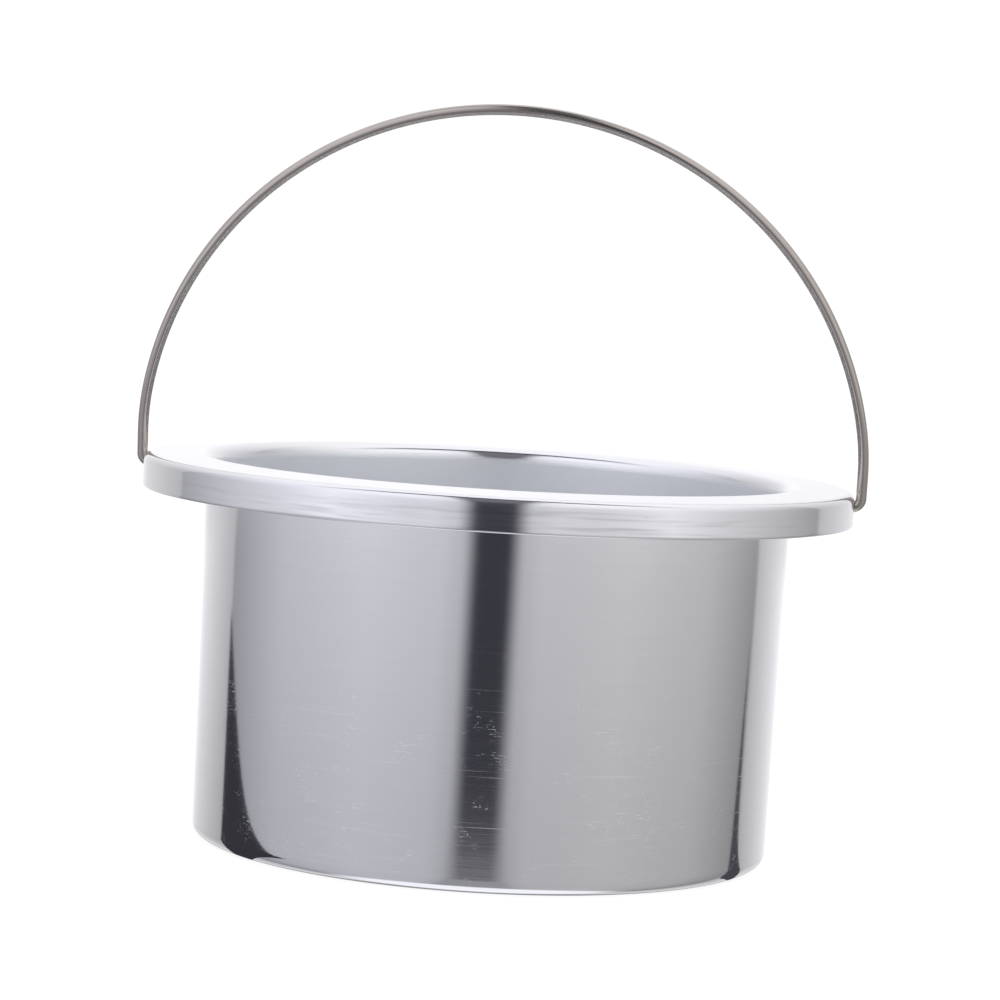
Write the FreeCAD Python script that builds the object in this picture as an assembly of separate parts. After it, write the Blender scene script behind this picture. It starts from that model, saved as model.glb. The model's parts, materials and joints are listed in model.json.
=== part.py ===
"""Inner pot of a wax warmer: one spun aluminium pot and the steel wire bail it is lifted by.

Millimetres. The origin is the centre of the underside of the base and +Z is up. The bail's
two pivot holes lie on a line along X, so the bail swings about X, towards -Y or +Y.
"""

import FreeCAD
import Part
import math
import os

# The pot is drawn and spun from one sheet, so every wall is one sheet thick.
SHEET = 1.0
POT_HEIGHT = 77.7
BASE_RADIUS = 58.86          # outside of the wall, carried down to the base plane
MOUTH_RADIUS = 59.73         # outside of the wall, carried up to the lip
BASE_CORNER = 2.6            # outside radius where the wall meets the base
LIP_CORNER = 3.1             # wax-side radius where the wall turns out into the flange

# The flange falls a little towards its edge, then turns down into a short skirt.
RIM_RADIUS = 72.5
FLANGE_FALL = math.radians(3.0)
RIM_CORNER = 1.85
SKIRT_HEM = 70.4             # height of the skirt's lower edge above the base
HEM_ROUND = 0.3

# The bail pivots in two holes through the skirt, just under the rim corner.
PIVOT_HEIGHT = 74.2
PIVOT_HOLE_RADIUS = 1.45

# The bail is bent from one length of round wire. Heights here are above the pivot line.
WIRE_RADIUS = 1.1
LEG_REACH = 73.8             # centre of each leg, out from the middle
LEG_BEND = 1.8               # centreline radius where a leg turns in to its hole
LEG_TOP = 6.5                # where the straight leg ends and the shoulder arc starts
ARCH_RADIUS = 74.14
ARCH_CENTRE = 2.84
TAIL_END = 66.5              # how near the middle each inturned end comes
TAIL_ROUND = 0.5
BAIL_LEAN = 10.0             # degrees from upright, towards -Y, as the bail is stored


def point(x, z):
    """A point of an outline drawn in the XZ plane."""
    return FreeCAD.Vector(x, 0, z)


def rounded_path(corners, radii):
    """Edges along a chain of corner points, with a tangent arc of the given radius at each."""
    edges = []
    start = corners[0]
    for before, corner, after, radius in zip(corners, corners[1:], corners[2:], radii):
        back = (before - corner).normalize()
        ahead = (after - corner).normalize()
        half = back.getAngle(ahead) / 2
        reach = radius / math.tan(half)
        arc_start = corner + back * reach
        arc_end = corner + ahead * reach
        inward = (back + ahead).normalize()
        arc_middle = corner + inward * (radius / math.sin(half) - radius)
        edges.append(Part.LineSegment(start, arc_start).toShape())
        edges.append(Part.Arc(arc_start, arc_middle, arc_end).toShape())
        start = arc_end
    edges.append(Part.LineSegment(start, corners[-1]).toShape())
    return edges


def sheet_face(depth):
    """One face of the sheet from the axis to the hem, depth below the wax-side face.

    Corners come back as points with a corner radius each. Depth 0 is the face that the wax,
    the top of the flange and the outside of the skirt share; depth SHEET is the other one.
    """
    taper = math.atan2(MOUTH_RADIUS - BASE_RADIUS, POT_HEIGHT)
    floor = SHEET - depth
    wall_shift = (depth - SHEET) / math.cos(taper)
    wall_foot = BASE_RADIUS + floor * math.tan(taper) + wall_shift
    lip_middle = MOUTH_RADIUS - SHEET + LIP_CORNER
    flange_drop = depth / math.cos(FLANGE_FALL)
    skirt = RIM_RADIUS - depth
    # The wall line r = BASE_RADIUS + shift + z tan(taper) meets the sloping flange line.
    slope = math.tan(FLANGE_FALL)
    flange_at_axis = POT_HEIGHT + lip_middle * slope - flange_drop
    wall_at_base = BASE_RADIUS + wall_shift
    lip_radius = (wall_at_base + flange_at_axis * math.tan(taper)) / (1 + slope * math.tan(taper))
    corners = [
        point(0, floor),
        point(wall_foot, floor),
        point(lip_radius, flange_at_axis - lip_radius * slope),
        point(skirt, flange_at_axis - skirt * slope),
        point(skirt, SKIRT_HEM + HEM_ROUND),
    ]
    radii = [BASE_CORNER - SHEET + depth, LIP_CORNER - depth, RIM_CORNER - depth]
    return corners, radii


def hem_edges():
    """The rounded lower edge of the skirt, from its outside face to its inside face."""
    outer = RIM_RADIUS
    inner = RIM_RADIUS - SHEET
    middle = HEM_ROUND * math.sqrt(0.5)
    top = SKIRT_HEM + HEM_ROUND
    outer_arc = Part.Arc(
        point(outer, top),
        point(outer - HEM_ROUND + middle, top - middle),
        point(outer - HEM_ROUND, SKIRT_HEM),
    )
    flat = Part.LineSegment(point(outer - HEM_ROUND, SKIRT_HEM), point(inner + HEM_ROUND, SKIRT_HEM))
    inner_arc = Part.Arc(
        point(inner + HEM_ROUND, SKIRT_HEM),
        point(inner + HEM_ROUND - middle, top - middle),
        point(inner, top),
    )
    return [outer_arc.toShape(), flat.toShape(), inner_arc.toShape()]


def make_pot():
    """The spun pot: base, tapered wall, flange and skirt in one sheet, with two pivot holes."""
    wax_side, wax_radii = sheet_face(0)
    under_side, under_radii = sheet_face(SHEET)
    edges = rounded_path(wax_side, wax_radii)
    edges += hem_edges()
    edges += rounded_path(under_side, under_radii)
    edges.append(Part.LineSegment(under_side[0], wax_side[0]).toShape())
    outline = Part.Face(Part.Wire(Part.__sortEdges__(edges)))
    spun = outline.revolve(point(0, 0), FreeCAD.Vector(0, 0, 1), 360)
    drill_length = 4 * SHEET
    for side in (-1, 1):
        start = FreeCAD.Vector(side * (RIM_RADIUS - 2.5 * SHEET), 0, PIVOT_HEIGHT)
        along = FreeCAD.Vector(side, 0, 0)
        spun = spun.cut(Part.makeCylinder(PIVOT_HOLE_RADIUS, drill_length, start, along))
    return spun


def bail_half():
    """The bail's centreline from its top down to one inturned end, upright, pivot at z = 0.

    The shoulder arc is the one that meets the straight leg and the arch without a corner.
    """
    rise = LEG_TOP - ARCH_CENTRE
    shoulder = (ARCH_RADIUS**2 - LEG_REACH**2 - rise**2) / (2 * (ARCH_RADIUS - LEG_REACH))
    centre_x = LEG_REACH - shoulder
    join_angle = math.atan2(rise, centre_x)

    def on_arch(angle):
        return point(ARCH_RADIUS * math.cos(angle), ARCH_CENTRE + ARCH_RADIUS * math.sin(angle))

    def on_shoulder(angle):
        return point(centre_x + shoulder * math.cos(angle), LEG_TOP + shoulder * math.sin(angle))

    top_middle = (math.pi / 2 + join_angle) / 2
    bend_middle = LEG_BEND * math.sqrt(0.5)
    bend_x = LEG_REACH - LEG_BEND
    leg_foot = point(LEG_REACH, LEG_BEND)
    tail_start = point(bend_x, 0)
    arch = Part.Arc(on_arch(math.pi / 2), on_arch(top_middle), on_arch(join_angle))
    side_arc = Part.Arc(on_shoulder(join_angle), on_shoulder(join_angle / 2), on_shoulder(0))
    leg = Part.LineSegment(on_shoulder(0), leg_foot)
    bend = Part.Arc(leg_foot, point(bend_x + bend_middle, LEG_BEND - bend_middle), tail_start)
    tail = Part.LineSegment(tail_start, point(TAIL_END, 0))
    return [piece.toShape() for piece in (arch, side_arc, leg, bend, tail)]


def make_bail():
    """The wire bail, leaning by BAIL_LEAN about the pivot line."""
    half = bail_half()
    mirrored = [edge.mirror(point(0, 0), FreeCAD.Vector(1, 0, 0)) for edge in half]
    path = Part.Wire(Part.__sortEdges__(half + mirrored))
    section = Part.Wire(Part.makeCircle(WIRE_RADIUS, point(TAIL_END, 0), FreeCAD.Vector(1, 0, 0)))
    wire = path.makePipeShell([section], True, False)
    ends = [
        edge
        for edge in wire.Edges
        if all(abs(abs(vertex.X) - TAIL_END) < 0.001 for vertex in edge.Vertexes)
        and isinstance(edge.Curve, Part.Circle)
    ]
    wire = wire.makeFillet(TAIL_ROUND, ends)
    wire.translate(point(0, PIVOT_HEIGHT))
    wire.rotate(point(0, PIVOT_HEIGHT), FreeCAD.Vector(1, 0, 0), BAIL_LEAN)
    return wire


os.makedirs("parts", exist_ok=True)
NODES = {"pot": make_pot, "bail": make_bail}
for name, make in NODES.items():
    shape = make()
    shape.exportStep(f"parts/{name}.step")
    print(name, shape.ShapeType, "valid", shape.isValid(), "volume mm3", round(shape.Volume, 1))
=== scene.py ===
"""Looks for the wax warmer's inner pot: spun aluminium, a wire bail and a small product studio."""

import bmesh
import bpy
import json
import math
from mathutils import Matrix, Vector


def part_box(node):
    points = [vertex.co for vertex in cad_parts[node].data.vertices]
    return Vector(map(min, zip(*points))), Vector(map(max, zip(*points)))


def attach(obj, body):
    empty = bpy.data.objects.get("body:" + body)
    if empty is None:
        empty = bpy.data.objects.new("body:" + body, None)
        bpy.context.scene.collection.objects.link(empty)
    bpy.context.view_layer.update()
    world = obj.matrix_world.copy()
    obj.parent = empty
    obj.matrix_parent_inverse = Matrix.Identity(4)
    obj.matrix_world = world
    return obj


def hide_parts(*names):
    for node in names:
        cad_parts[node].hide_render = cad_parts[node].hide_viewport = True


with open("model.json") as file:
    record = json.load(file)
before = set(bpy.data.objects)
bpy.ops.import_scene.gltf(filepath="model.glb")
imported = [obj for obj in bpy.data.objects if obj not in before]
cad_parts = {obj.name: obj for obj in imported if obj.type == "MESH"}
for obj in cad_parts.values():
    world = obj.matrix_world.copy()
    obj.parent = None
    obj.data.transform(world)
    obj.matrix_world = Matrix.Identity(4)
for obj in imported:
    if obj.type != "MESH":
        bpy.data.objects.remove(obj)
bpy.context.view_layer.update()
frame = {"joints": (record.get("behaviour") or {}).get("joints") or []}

MM = 0.001

# Sizes read from the frame.
POT_LOW, POT_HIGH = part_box("pot")
RIM_RADIUS = POT_HIGH.x
POT_HEIGHT = POT_HIGH.z
PIVOT = Vector(frame["joints"][0]["pos_m"])

# Sizes of the spun sheet that the frame's box doesn't give.
SHEET = 1.0 * MM
BASE_RADIUS = 58.86 * MM        # outside of the wall, carried down to the base plane
MOUTH_RADIUS = 59.73 * MM       # outside of the wall, carried up to the lip
BASE_CORNER = 2.6 * MM
LIP_CORNER = 3.1 * MM
RIM_CORNER = 1.85 * MM
FLANGE_FALL = math.radians(3.0)
SKIRT_HEM = 70.4 * MM
HEM_ROUND = 0.3 * MM
PIVOT_HOLE_RADIUS = 1.45 * MM

# The wire bail, with heights above the pivot line.
WIRE_RADIUS = 1.1 * MM
LEG_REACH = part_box("bail")[1].x - WIRE_RADIUS
LEG_BEND = 1.8 * MM
LEG_TOP = 6.5 * MM
ARCH_RADIUS = 74.14 * MM
ARCH_CENTRE = 2.84 * MM
TAIL_END = 66.5 * MM
TAIL_ROUND = 0.5 * MM
BAIL_LEAN = math.radians(10.0)

# The camera stands a little to the right of the front and looks slightly down.
CAMERA_ROUND = math.radians(4.04)
CAMERA_RISE = math.radians(6.818)
CAMERA_DISTANCE = 757 * MM
CAMERA_AIM = Vector((0, 0, 40 * MM))
CAMERA_YAW = math.radians(-0.03)
CAMERA_PITCH = math.radians(2.336)
CAMERA_ROLL = math.radians(-3.426)
CAMERA_LENS = 132.62


# ---------------------------------------------------------------- camera

def make_camera():
    """A long lens, aimed past the pot and rolled so that the pot stands tilted in the frame."""
    back = Vector((
        math.sin(CAMERA_ROUND) * math.cos(CAMERA_RISE),
        -math.cos(CAMERA_ROUND) * math.cos(CAMERA_RISE),
        math.sin(CAMERA_RISE),
    ))
    data = bpy.data.cameras.new("camera")
    data.lens = CAMERA_LENS
    data.sensor_width = 36.0
    data.clip_start = 10 * MM
    data.clip_end = 50.0
    camera = bpy.data.objects.new("camera", data)
    bpy.context.scene.collection.objects.link(camera)
    level = (-back).to_track_quat("-Z", "Y").to_matrix()
    turned = level @ Matrix.Rotation(CAMERA_YAW, 3, "Y") @ Matrix.Rotation(CAMERA_PITCH, 3, "X")
    turned = turned @ Matrix.Rotation(-CAMERA_ROLL, 3, "Z")
    camera.matrix_world = Matrix.Translation(CAMERA_AIM + back * CAMERA_DISTANCE) @ turned.to_4x4()
    bpy.context.scene.camera = camera


# ---------------------------------------------------------------- node wiring

class Wiring:
    """Short calls that add a node to a tree and hand back its output."""

    def __init__(self, tree):
        self.tree = tree
        tree.nodes.clear()

    def node(self, kind, **settings):
        made = self.tree.nodes.new(kind)
        for name, value in settings.items():
            setattr(made, name, value)
        return made

    def feed(self, socket, value):
        """Links an output to the socket, or sets a plain number or colour on it."""
        if isinstance(value, bpy.types.NodeSocket):
            self.tree.links.new(value, socket)
        else:
            socket.default_value = value

    def math(self, operation, *values, clamp=False):
        made = self.node("ShaderNodeMath", operation=operation, use_clamp=clamp)
        for socket, value in zip(made.inputs, values):
            self.feed(socket, value)
        return made.outputs[0]

    def split(self, vector):
        made = self.node("ShaderNodeSeparateXYZ")
        self.feed(made.inputs[0], vector)
        return made.outputs

    def join(self, x, y, z):
        made = self.node("ShaderNodeCombineXYZ")
        for socket, value in zip(made.inputs, (x, y, z)):
            self.feed(socket, value)
        return made.outputs[0]

    def fade(self, value, start, end, low=0.0, high=1.0):
        """Goes smoothly from low to high as value goes from start to end, and no further."""
        made = self.node("ShaderNodeMapRange", interpolation_type="SMOOTHSTEP")
        names = ("Value", "From Min", "From Max", "To Min", "To Max")
        for name, setting in zip(names, (value, start, end, low, high)):
            self.feed(made.inputs[name], setting)
        return made.outputs[0]

    def blend(self, share, low, high):
        """A number between low and high."""
        made = self.node("ShaderNodeMix", data_type="FLOAT")
        self.feed(made.inputs[0], share)
        self.feed(made.inputs[2], low)
        self.feed(made.inputs[3], high)
        return made.outputs[0]

    def tint(self, share, low, high, mode="MIX"):
        """A colour between low and high."""
        made = self.node("ShaderNodeMix", data_type="RGBA", blend_type=mode)
        self.feed(made.inputs[0], share)
        self.feed(made.inputs[6], low)
        self.feed(made.inputs[7], high)
        return made.outputs[2]

    def noise(self, vector, scale, detail=2.0, roughness=0.5):
        made = self.node("ShaderNodeTexNoise")
        self.feed(made.inputs["Vector"], vector)
        for name, value in (("Scale", scale), ("Detail", detail), ("Roughness", roughness)):
            self.feed(made.inputs[name], value)
        return made.outputs["Fac"]

    def ramp(self, value, stops):
        """A brightness that runs through the stops, each a place from 0 to 1 and a level."""
        made = self.node("ShaderNodeValToRGB")
        self.feed(made.inputs[0], value)
        made.color_ramp.interpolation = "LINEAR"
        elements = made.color_ramp.elements
        while len(elements) < len(stops):
            elements.new(1.0)
        for element, (place, level) in zip(elements, sorted(stops)):
            element.position = place
            element.color = (level, level, level, 1)
        return made.outputs[0]


# ---------------------------------------------------------------- studio

# The studio's light: a direction in degrees from the front and the level there. Each runs
# evenly from front to side, falls to a dark edge, steps up past it and brightens to the back.
TABLE_LIGHT = ((0, 0.53), (50, 0.59), (90, 0.51), (123.3, 0.30), (124.7, 0.52), (180, 1.18))
BOARD_LIGHT = ((30, 0.72), (55, 0.91), (75, 0.71), (122, 0.37), (123.6, 0.56), (180, 1.04))
BRIGHTEST = 1.6                # the most that a level above may be
GAP_DARK = 0.07                # share of the boards' light left in the gap between them
GAP_INNER = 5.0                # degrees from the gap's middle where it starts to lighten
GAP_OUTER = 12.5
GAP_END = 20.0                 # and where the boards are fully lit
GAP_TURN = -0.45
CEILING = 1.02                 # the level high overhead, and of the floor right below
TABLE_EDGE = -5.5              # degrees below the horizon where the table stops
TABLE_NEAR = -12.5             # degrees below the horizon of the table's near part
TABLE_FOOT = -11.68            # and where the gap's reflection stops, beside the pot's foot
TABLE_TURN = 1.6               # degrees that the table's light lies off the camera's line
BOARD_TURN = 1.5
BAR_LEVEL = 0.08               # the thin dark bar overhead
FOOT_LEVEL = 0.30              # the gap's reflection past the table's foot
BEHIND_LEFT = 0.86             # the back is a little dimmer on the left
ROOM_LIGHT = 2.2               # what the floor and the satin inside get from the room
ROOM_SEEN = 1.03               # what the camera sees of it
FLOOR_GLOW = 0.88
STRIP_STEPS = 24
STRIP_DROP = 0.05              # mm that the strips lie below the base


def around(wires, turn, offset, stops):
    """A brightness that depends on the direction round the pot."""
    away = wires.math("ABSOLUTE", wires.math("SUBTRACT", turn, offset))
    places = [(degrees / 180, level / BRIGHTEST) for degrees, level in stops]
    return wires.math("MULTIPLY", wires.ramp(wires.math("DIVIDE", away, 180.0), places), BRIGHTEST)


def studio_reflection(wires, direction):
    """What the polished metal sees: a table, two grey boards with a dark gap, white behind."""
    x, y, z = wires.split(direction)
    lift = wires.math("DEGREES", wires.math("ARCSINE", z))
    turn = wires.math("DEGREES", wires.math("ARCTAN2", x, wires.math("MULTIPLY", y, -1.0)))
    table = around(wires, turn, TABLE_TURN, TABLE_LIGHT)
    table = wires.math("MULTIPLY", table, wires.fade(lift, TABLE_NEAR, TABLE_EDGE, 0.84, 1.03))
    boards = around(wires, turn, BOARD_TURN, BOARD_LIGHT)
    level = wires.blend(wires.fade(lift, TABLE_EDGE - 0.4, TABLE_EDGE + 0.4), table, boards)
    level = wires.math("MULTIPLY", level, wires.blend(wires.fade(x, -0.9, 0.9), 1.045, 0.955))
    behind_left = wires.math("MULTIPLY", wires.fade(x, -0.15, -0.45), wires.fade(y, 0.5, 0.56))
    level = wires.math("MULTIPLY", level, wires.blend(behind_left, 1.0, BEHIND_LEFT))
    level = wires.blend(wires.fade(lift, 4, 66), level, CEILING)
    sideways = wires.math("DEGREES", wires.math("ARCSINE", x))
    across = wires.math("ABSOLUTE", wires.math("SUBTRACT", sideways, GAP_TURN))
    gap = wires.fade(across, GAP_INNER, GAP_OUTER, GAP_DARK, 0.9)
    gap = wires.math("ADD", gap, wires.fade(across, GAP_OUTER, GAP_END, 0.0, 0.1))
    gap = wires.math("MAXIMUM", gap, wires.fade(lift, 10, 60, 0.0, 0.16))
    gap = wires.blend(wires.fade(y, 0.05, -0.03), 1.0, gap)
    level = wires.math("MULTIPLY", level, gap)
    # The bar lies across the line overhead, from side to side, and fades out at its ends.
    bar = wires.math("MULTIPLY", wires.fade(y, -0.20, -0.14), wires.fade(y, 0.04, 0.01))
    bar = wires.math("MULTIPLY", bar, wires.fade(wires.math("ABSOLUTE", x), 0.75, 0.2))
    bar = wires.math("MULTIPLY", bar, wires.fade(z, 0.3, 0.5))
    level = wires.blend(bar, level, BAR_LEVEL)
    low = wires.fade(lift, TABLE_FOOT + 0.18, TABLE_FOOT)
    foot = wires.math("MULTIPLY", low, wires.fade(across, 15.0, 9.0))
    level = wires.blend(foot, level, FOOT_LEVEL)
    return wires.blend(wires.fade(lift, -56, -68), level, CEILING)


def make_world():
    """A white room for the floor and the camera; the polished metal sees the studio in it."""
    world = bpy.data.worlds.new("studio")
    bpy.context.scene.world = world
    world.use_nodes = True
    wires = Wiring(world.node_tree)
    turn = wires.node("ShaderNodeVectorRotate", rotation_type="Z_AXIS")
    wires.feed(turn.inputs["Vector"], wires.node("ShaderNodeTexCoord").outputs["Object"])
    turn.inputs["Angle"].default_value = -CAMERA_ROUND
    seen = studio_reflection(wires, turn.outputs[0])
    x, y, _ = wires.split(turn.outputs[0])
    cool = wires.math("MULTIPLY", wires.fade(x, 0.8, -0.6), wires.fade(y, 0.6, 0.4))
    colour = wires.tint(cool, (0.995, 0.99, 1.02, 1), (0.975, 0.98, 1.06, 1))
    colour = wires.tint(wires.fade(seen, 0.20, 0.05), colour, (0.94, 0.94, 1.22, 1))
    shade = wires.node("ShaderNodeBackground")
    wires.feed(shade.inputs["Color"], colour)
    wires.feed(shade.inputs["Strength"], seen)
    room = wires.node("ShaderNodeBackground")
    room.inputs["Color"].default_value = (1, 1, 1, 1)
    rays = wires.node("ShaderNodeLightPath")
    strength = wires.blend(rays.outputs["Is Camera Ray"], ROOM_LIGHT, ROOM_SEEN)
    wires.feed(room.inputs["Strength"], strength)
    either = wires.node("ShaderNodeMixShader")
    wires.feed(either.inputs[0], rays.outputs["Is Glossy Ray"])
    wires.feed(either.inputs[1], room.outputs[0])
    wires.feed(either.inputs[2], shade.outputs[0])
    output = wires.node("ShaderNodeOutputWorld")
    wires.feed(output.inputs["Surface"], either.outputs[0])


def glow(name, level):
    """A plain emitting material for cards that only the metal sees."""
    material = bpy.data.materials.new(name)
    material.use_nodes = True
    wires = Wiring(material.node_tree)
    light = wires.node("ShaderNodeEmission")
    light.inputs["Color"].default_value = (level, level, level * 1.22, 1)
    output = wires.node("ShaderNodeOutputMaterial")
    wires.feed(output.inputs["Surface"], light.outputs[0])
    return material


def finish_mesh(name, bm, material):
    """Turns a bmesh into an object in the scene with one material."""
    mesh = bpy.data.meshes.new(name)
    bm.to_mesh(mesh)
    bm.free()
    piece = bpy.data.objects.new(name, mesh)
    bpy.context.scene.collection.objects.link(piece)
    mesh.materials.append(material)
    return piece


def make_floor():
    """A wide pale floor at the foot of the pot, mostly its own glow so that it stays white."""
    material = bpy.data.materials.new("pale_floor")
    material.use_nodes = True
    wires = Wiring(material.node_tree)
    place = wires.node("ShaderNodeTexCoord").outputs["Object"]
    mottle = wires.noise(place, 6.0)
    paint = wires.node("ShaderNodeBsdfDiffuse")
    dull = (0.095, 0.095, 0.095, 1)
    wires.feed(paint.inputs["Color"], wires.tint(mottle, dull, (0.105, 0.105, 0.105, 1)))
    lit = wires.node("ShaderNodeEmission")
    lit.inputs["Strength"].default_value = FLOOR_GLOW
    both = wires.node("ShaderNodeAddShader")
    wires.feed(both.inputs[0], paint.outputs[0])
    wires.feed(both.inputs[1], lit.outputs[0])
    output = wires.node("ShaderNodeOutputMaterial")
    wires.feed(output.inputs["Surface"], both.outputs[0])
    bm = bmesh.new()
    bmesh.ops.create_circle(bm, cap_ends=True, segments=96, radius=4.0)
    floor = finish_mesh("floor", bm, material)
    floor.visible_glossy = False


def make_dark_strip(name, near, far, near_width, bow, level):
    """A dark strip lying on the table, seen only as a reflection low on the pot's wall.

    Its back edge runs straight from near to far. Its front edge starts near_width in front of
    that, bows out by bow halfway along and meets it at the far end. All in mm, measured square
    to the camera's line.
    """
    bm = bmesh.new()
    turn = Matrix.Rotation(CAMERA_ROUND, 3, "Z")
    near = Vector((*near, -STRIP_DROP))
    far = Vector((*far, -STRIP_DROP))
    outline = [far, near]
    for step in range(STRIP_STEPS):
        share = step / STRIP_STEPS
        width = near_width * (1 - share) + 4 * bow * share * (1 - share)
        outline.append(near.lerp(far, share) - Vector((0, width, 0)))
    bm.faces.new([bm.verts.new(turn @ (place * MM)) for place in outline])
    strip = finish_mesh(name, bm, glow(name, level))
    strip.visible_camera = False
    strip.visible_diffuse = False
    strip.visible_shadow = False


def make_studio():
    make_world()
    make_floor()
    make_dark_strip("dark_strip_left", (-44, -34), (-385, 187), 13, 27, 0.035)
    make_dark_strip("dark_strip_right", (50, -26.5), (385, 192), 5.5, 6, 0.06)


# ---------------------------------------------------------------- materials

MICRON = 1e-6
FINE_LINES = 0.4 * MICRON      # heights of the turning lines, the wear and the skirt's waves
BROAD_LINES = 1.2 * MICRON
WEAR_DEPTH = 2.5 * MICRON
SKIRT_RIPPLE = 30.0 * MICRON
WIRE_GRAIN = 0.8 * MICRON


def turned_place(wires):
    """Coordinates for turning marks: round the axis slowly, across the sheet quickly."""
    x, y, z = wires.split(wires.node("ShaderNodeTexCoord").outputs["Object"])
    square = wires.math("ADD", wires.math("MULTIPLY", x, x), wires.math("MULTIPLY", y, y))
    radius = wires.math("SQRT", square)
    safe = wires.math("MAXIMUM", radius, 0.5 * MM)
    round_x = wires.math("DIVIDE", x, safe)
    round_y = wires.math("DIVIDE", y, safe)
    return round_x, round_y, wires.math("ADD", radius, z), radius, z


CORNER_REACH = 2.43 * MM       # between the sheet's two faces at the base corner
LIP_FOOT = POT_HEIGHT - 0.85 * LIP_CORNER    # where the polish stops inside the mouth


def wax_side(wires, radius, height):
    """1 on the inside of the pot below its lip, 0 on every other face of the sheet."""
    lean = (MOUTH_RADIUS - BASE_RADIUS) / POT_HEIGHT
    wall = wires.math("ADD", BASE_RADIUS - SHEET / 2, wires.math("MULTIPLY", height, lean))
    inside = wires.fade(wires.math("SUBTRACT", radius, wall), 0.2 * MM, -0.2 * MM)
    inside = wires.math("MULTIPLY", inside, wires.fade(height, LIP_FOOT + 1.0 * MM, LIP_FOOT))
    above = wires.math("GREATER_THAN", height, SHEET / 2)
    corner = wires.math("SUBTRACT", radius, height)
    corner_line = BASE_RADIUS - 2 * BASE_CORNER + CORNER_REACH
    return wires.math("MULTIPLY", wires.math("MULTIPLY", inside, above),
                      wires.math("LESS_THAN", corner, corner_line))


def spun_aluminium():
    """Bright spun sheet with fine turning lines, pits and short rubs, and a satin wax side."""
    material = bpy.data.materials.new("spun_aluminium")
    material.use_nodes = True
    wires = Wiring(material.node_tree)
    round_x, round_y, across, radius, height = turned_place(wires)

    def marks(turns, lines, detail=2.0):
        place = wires.join(
            wires.math("MULTIPLY", round_x, turns),
            wires.math("MULTIPLY", round_y, turns),
            wires.math("MULTIPLY", across, lines),
        )
        return wires.noise(place, 1.0, detail, 0.6)

    fine = marks(2.0, 5200.0)
    broad = marks(3.0, 900.0)
    rubs = wires.fade(marks(26.0, 4400.0, 3.0), 0.60, 0.68)
    pits = wires.fade(marks(150.0, 2500.0, 1.0), 0.67, 0.74)
    patches = wires.fade(marks(12.0, 190.0), 0.50, 0.64)
    grooves = wires.math("MULTIPLY", wires.fade(marks(1.6, 5600.0, 1.0), 0.68, 0.78), 0.55)
    worn = wires.math("MAXIMUM", pits, wires.math("MULTIPLY", rubs, 0.8))
    worn = wires.math("MAXIMUM", wires.math("MULTIPLY", worn, patches), grooves)
    worn = wires.math("MULTIPLY", worn, wires.fade(height, 58 * MM, 26 * MM, 0.2, 1.0))
    skirt = wires.math("GREATER_THAN", radius, RIM_RADIUS - 1.5 * SHEET)
    ripples = wires.math("MULTIPLY", marks(3.5, 620.0, 1.0), skirt)
    waxed = wax_side(wires, radius, height)
    metal = wires.node("ShaderNodeBsdfPrincipled")
    wires.feed(metal.inputs["Metallic"], wires.blend(waxed, 1.0, 0.9))
    colour = wires.tint(broad, (0.885, 0.89, 0.905, 1), (0.915, 0.918, 0.928, 1))
    colour = wires.tint(waxed, colour, (0.80, 0.815, 0.845, 1))
    wires.feed(metal.inputs["Base Color"], colour)
    polished = wires.blend(fine, 0.05, 0.12)
    polished = wires.blend(worn, polished, 0.42)
    wires.feed(metal.inputs["Roughness"], wires.blend(waxed, polished, wires.blend(broad, 0.30, 0.44)))
    bump = wires.node("ShaderNodeBump")
    bump.inputs["Strength"].default_value = 1.0
    bump.inputs["Distance"].default_value = 1.0
    heights = wires.math("MULTIPLY", fine, FINE_LINES)
    heights = wires.math("ADD", heights, wires.math("MULTIPLY", broad, BROAD_LINES))
    heights = wires.math("SUBTRACT", heights, wires.math("MULTIPLY", worn, WEAR_DEPTH))
    heights = wires.math("ADD", heights, wires.math("MULTIPLY", ripples, SKIRT_RIPPLE))
    wires.feed(bump.inputs["Height"], heights)
    wires.feed(metal.inputs["Normal"], bump.outputs[0])
    output = wires.node("ShaderNodeOutputMaterial")
    wires.feed(output.inputs["Surface"], metal.outputs[0])
    return material


def drawn_steel():
    """Bright drawn stainless wire, a little warm, with faint die marks and handling smudges."""
    material = bpy.data.materials.new("drawn_steel")
    material.use_nodes = True
    wires = Wiring(material.node_tree)
    place = wires.node("ShaderNodeTexCoord").outputs["Object"]
    smudge = wires.noise(place, 180.0, 3.0)
    grain = wires.noise(place, 4000.0, 2.0)
    metal = wires.node("ShaderNodeBsdfPrincipled")
    metal.inputs["Metallic"].default_value = 1.0
    dark = (0.50, 0.455, 0.42, 1)
    wires.feed(metal.inputs["Base Color"], wires.tint(smudge, dark, (0.58, 0.535, 0.49, 1)))
    wires.feed(metal.inputs["Roughness"], wires.blend(grain, 0.10, 0.20))
    bump = wires.node("ShaderNodeBump")
    bump.inputs["Distance"].default_value = 1.0
    wires.feed(bump.inputs["Height"], wires.math("MULTIPLY", grain, WIRE_GRAIN))
    wires.feed(metal.inputs["Normal"], bump.outputs[0])
    output = wires.node("ShaderNodeOutputMaterial")
    wires.feed(output.inputs["Surface"], metal.outputs[0])
    return material


# ---------------------------------------------------------------- pot

SPIN_STEPS = 288
HOLD = 0.25 * MM               # a loop beside each arc keeps the flat stretches flat


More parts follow.
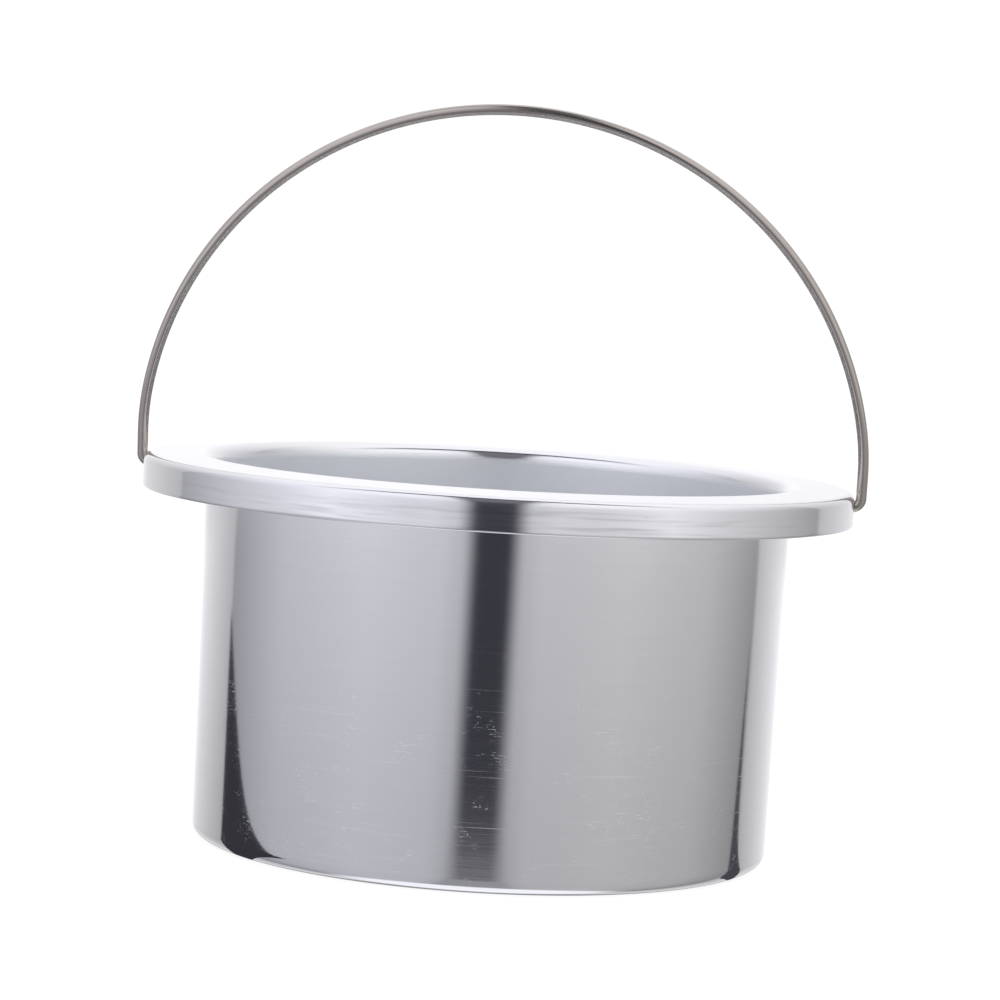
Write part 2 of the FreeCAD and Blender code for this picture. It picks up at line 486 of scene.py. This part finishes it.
def draw_outline(bm, corners):
    """Draws a chain through corner points, each rounded to its radius (0 leaves an end point)."""
    places = [Vector((r, 0, z)) for r, z, radius, steps in corners]
    rounds = []
    chain = []
    for index, (r, z, radius, steps) in enumerate(corners):
        corner = places[index]
        if radius == 0:
            chain.append(bm.verts.new(corner))
            continue
        back = (places[index - 1] - corner).normalized()
        ahead = (places[index + 1] - corner).normalized()
        reach = radius / math.tan(back.angle(ahead) / 2)
        chain.append(bm.verts.new(corner + back * (reach + HOLD)))
        middle = bm.verts.new(corner)
        chain.append(middle)
        chain.append(bm.verts.new(corner + ahead * (reach + HOLD)))
        rounds.append((middle, reach, steps))
    for start, end in zip(chain, chain[1:]):
        bm.edges.new((start, end))
    for corner, reach, steps in rounds:
        bmesh.ops.bevel(
            bm, geom=[corner], offset=reach, offset_type="OFFSET", segments=steps,
            profile=0.5, affect="VERTICES", material=-1,
        )


def sheet_corners():
    """Corner points of the sheet's outline: floor, wall, flange, skirt, hem, and back underneath."""
    lean = (MOUTH_RADIUS - BASE_RADIUS) / POT_HEIGHT
    slope = math.tan(FLANGE_FALL)
    wall_shift = SHEET * math.sqrt(1 + lean * lean)
    flange_drop = SHEET / math.cos(FLANGE_FALL)
    top_at_axis = POT_HEIGHT + (MOUTH_RADIUS - SHEET + LIP_CORNER) * slope
    inner_foot = BASE_RADIUS - wall_shift
    inner_lip = (inner_foot + top_at_axis * lean) / (1 + slope * lean)
    under_at_axis = top_at_axis - flange_drop
    outer_lip = (BASE_RADIUS + under_at_axis * lean) / (1 + slope * lean)
    skirt_inside = RIM_RADIUS - SHEET
    return [
        (0, SHEET, 0, 0),
        (inner_foot + SHEET * lean, SHEET, BASE_CORNER - SHEET, 10),
        (inner_lip, top_at_axis - inner_lip * slope, LIP_CORNER, 18),
        (RIM_RADIUS, top_at_axis - RIM_RADIUS * slope, RIM_CORNER, 16),
        (RIM_RADIUS, SKIRT_HEM, HEM_ROUND * 0.999, 6),
        (skirt_inside, SKIRT_HEM, HEM_ROUND * 0.999, 6),
        (skirt_inside, under_at_axis - skirt_inside * slope, RIM_CORNER - SHEET, 8),
        (outer_lip, under_at_axis - outer_lip * slope, LIP_CORNER - SHEET, 14),
        (BASE_RADIUS, 0, BASE_CORNER, 14),
        (0, 0, 0, 0),
    ]


def drill(piece, radius, places, length):
    """Cuts round holes along X through the piece and keeps the result as its mesh."""
    bm = bmesh.new()
    for place in places:
        stand = Matrix.Translation(place) @ Matrix.Rotation(math.pi / 2, 4, "Y")
        bmesh.ops.create_cone(
            bm, cap_ends=True, segments=64, radius1=radius, radius2=radius, depth=length, matrix=stand,
        )
    cutter = finish_mesh("hole_cutter", bm, piece.data.materials[0])
    cut = piece.modifiers.new("pivot_holes", "BOOLEAN")
    cut.operation = "DIFFERENCE"
    cut.solver = "EXACT"
    cut.object = cutter
    drilled = bpy.data.meshes.new_from_object(piece.evaluated_get(bpy.context.evaluated_depsgraph_get()))
    piece.modifiers.clear()
    piece.data = drilled
    drilled.name = piece.name
    bpy.data.objects.remove(cutter)


def smooth(piece, sharp_from):
    """Smooth shading, with edges sharper than the given angle kept crisp."""
    piece.data.shade_smooth()
    piece.data.set_sharp_from_angle(angle=math.radians(sharp_from))


def make_pot(material):
    """The spun pot, from one outline turned round its axis, with the bail's two holes."""
    bm = bmesh.new()
    draw_outline(bm, sheet_corners())
    bmesh.ops.spin(
        bm, geom=bm.verts[:] + bm.edges[:], cent=(0, 0, 0), axis=(0, 0, 1),
        angle=math.tau, steps=SPIN_STEPS, use_merge=True,
    )
    bmesh.ops.remove_doubles(bm, verts=bm.verts, dist=0.002 * MM)
    bmesh.ops.recalc_face_normals(bm, faces=bm.faces)
    pot = finish_mesh("spun_pot", bm, material)
    holes = [Vector((side * (RIM_RADIUS - SHEET / 2), 0, PIVOT.z)) for side in (-1, 1)]
    drill(pot, PIVOT_HOLE_RADIUS, holes, 4 * SHEET)
    smooth(pot, 35)
    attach(pot, "pot")
    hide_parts("pot")


# ---------------------------------------------------------------- bail

WIRE_SIDES = 32


def follow_arc(bm, ring, centre, angle, steps):
    """Carries a ring of the wire round an arc about Y and gives back the ring at its end."""
    swept = bmesh.ops.spin(
        bm, geom=ring, cent=centre, axis=(0, 1, 0), angle=angle, steps=steps, use_merge=False,
    )
    return [item for item in swept["geom_last"] if isinstance(item, bmesh.types.BMEdge)]


def follow_line(bm, ring, step):
    """Carries a ring of the wire straight on and gives back the ring at its end."""
    grown = bmesh.ops.extrude_edge_only(bm, edges=ring)
    moved = [item for item in grown["geom"] if isinstance(item, bmesh.types.BMVert)]
    bmesh.ops.translate(bm, verts=moved, vec=step)
    return [item for item in grown["geom"] if isinstance(item, bmesh.types.BMEdge)
            and all(vert in moved for vert in item.verts)]


def make_bail(material):
    """The wire bail: half is drawn from its top to its end, then mirrored and leaned."""
    rise = LEG_TOP - ARCH_CENTRE
    shoulder = (ARCH_RADIUS**2 - LEG_REACH**2 - rise**2) / (2 * (ARCH_RADIUS - LEG_REACH))
    shoulder_x = LEG_REACH - shoulder
    join = math.atan2(rise, shoulder_x)
    quarter = math.pi / 2
    bm = bmesh.new()
    top = Matrix.Translation((0, 0, ARCH_CENTRE + ARCH_RADIUS)) @ Matrix.Rotation(quarter, 4, "Y")
    bmesh.ops.create_circle(bm, cap_ends=False, segments=WIRE_SIDES, radius=WIRE_RADIUS, matrix=top)
    ring = bm.edges[:]
    ring = follow_arc(bm, ring, (0, 0, ARCH_CENTRE), quarter - join, 84)
    ring = follow_arc(bm, ring, (shoulder_x, 0, LEG_TOP), join, 10)
    ring = follow_line(bm, ring, (0, 0, LEG_BEND - LEG_TOP))
    ring = follow_arc(bm, ring, (LEG_REACH - LEG_BEND, 0, LEG_BEND), quarter, 20)
    ring = follow_line(bm, ring, (TAIL_END - LEG_REACH + LEG_BEND, 0, 0))
    cap = bmesh.ops.edgeloop_fill(bm, edges=ring)["faces"]
    bmesh.ops.bevel(
        bm, geom=[edge for face in cap for edge in face.edges], offset=TAIL_ROUND,
        offset_type="OFFSET", segments=6, profile=0.5, affect="EDGES", material=-1,
    )
    bmesh.ops.mirror(bm, geom=bm.verts[:] + bm.edges[:] + bm.faces[:], axis="X", merge_dist=0.002 * MM)
    bmesh.ops.remove_doubles(bm, verts=bm.verts, dist=0.002 * MM)
    bmesh.ops.recalc_face_normals(bm, faces=bm.faces)
    bmesh.ops.rotate(bm, verts=bm.verts, cent=(0, 0, 0), matrix=Matrix.Rotation(BAIL_LEAN, 3, "X"))
    bmesh.ops.translate(bm, verts=bm.verts, vec=PIVOT)
    bail = finish_mesh("wire_bail", bm, material)
    smooth(bail, 40)
    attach(bail, "bail")
    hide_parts("bail")


make_camera()
make_studio()
make_pot(spun_aluminium())
make_bail(drawn_steel())

bpy.context.scene.view_settings.view_transform = "Standard"
bpy.context.scene.view_settings.look = "None"
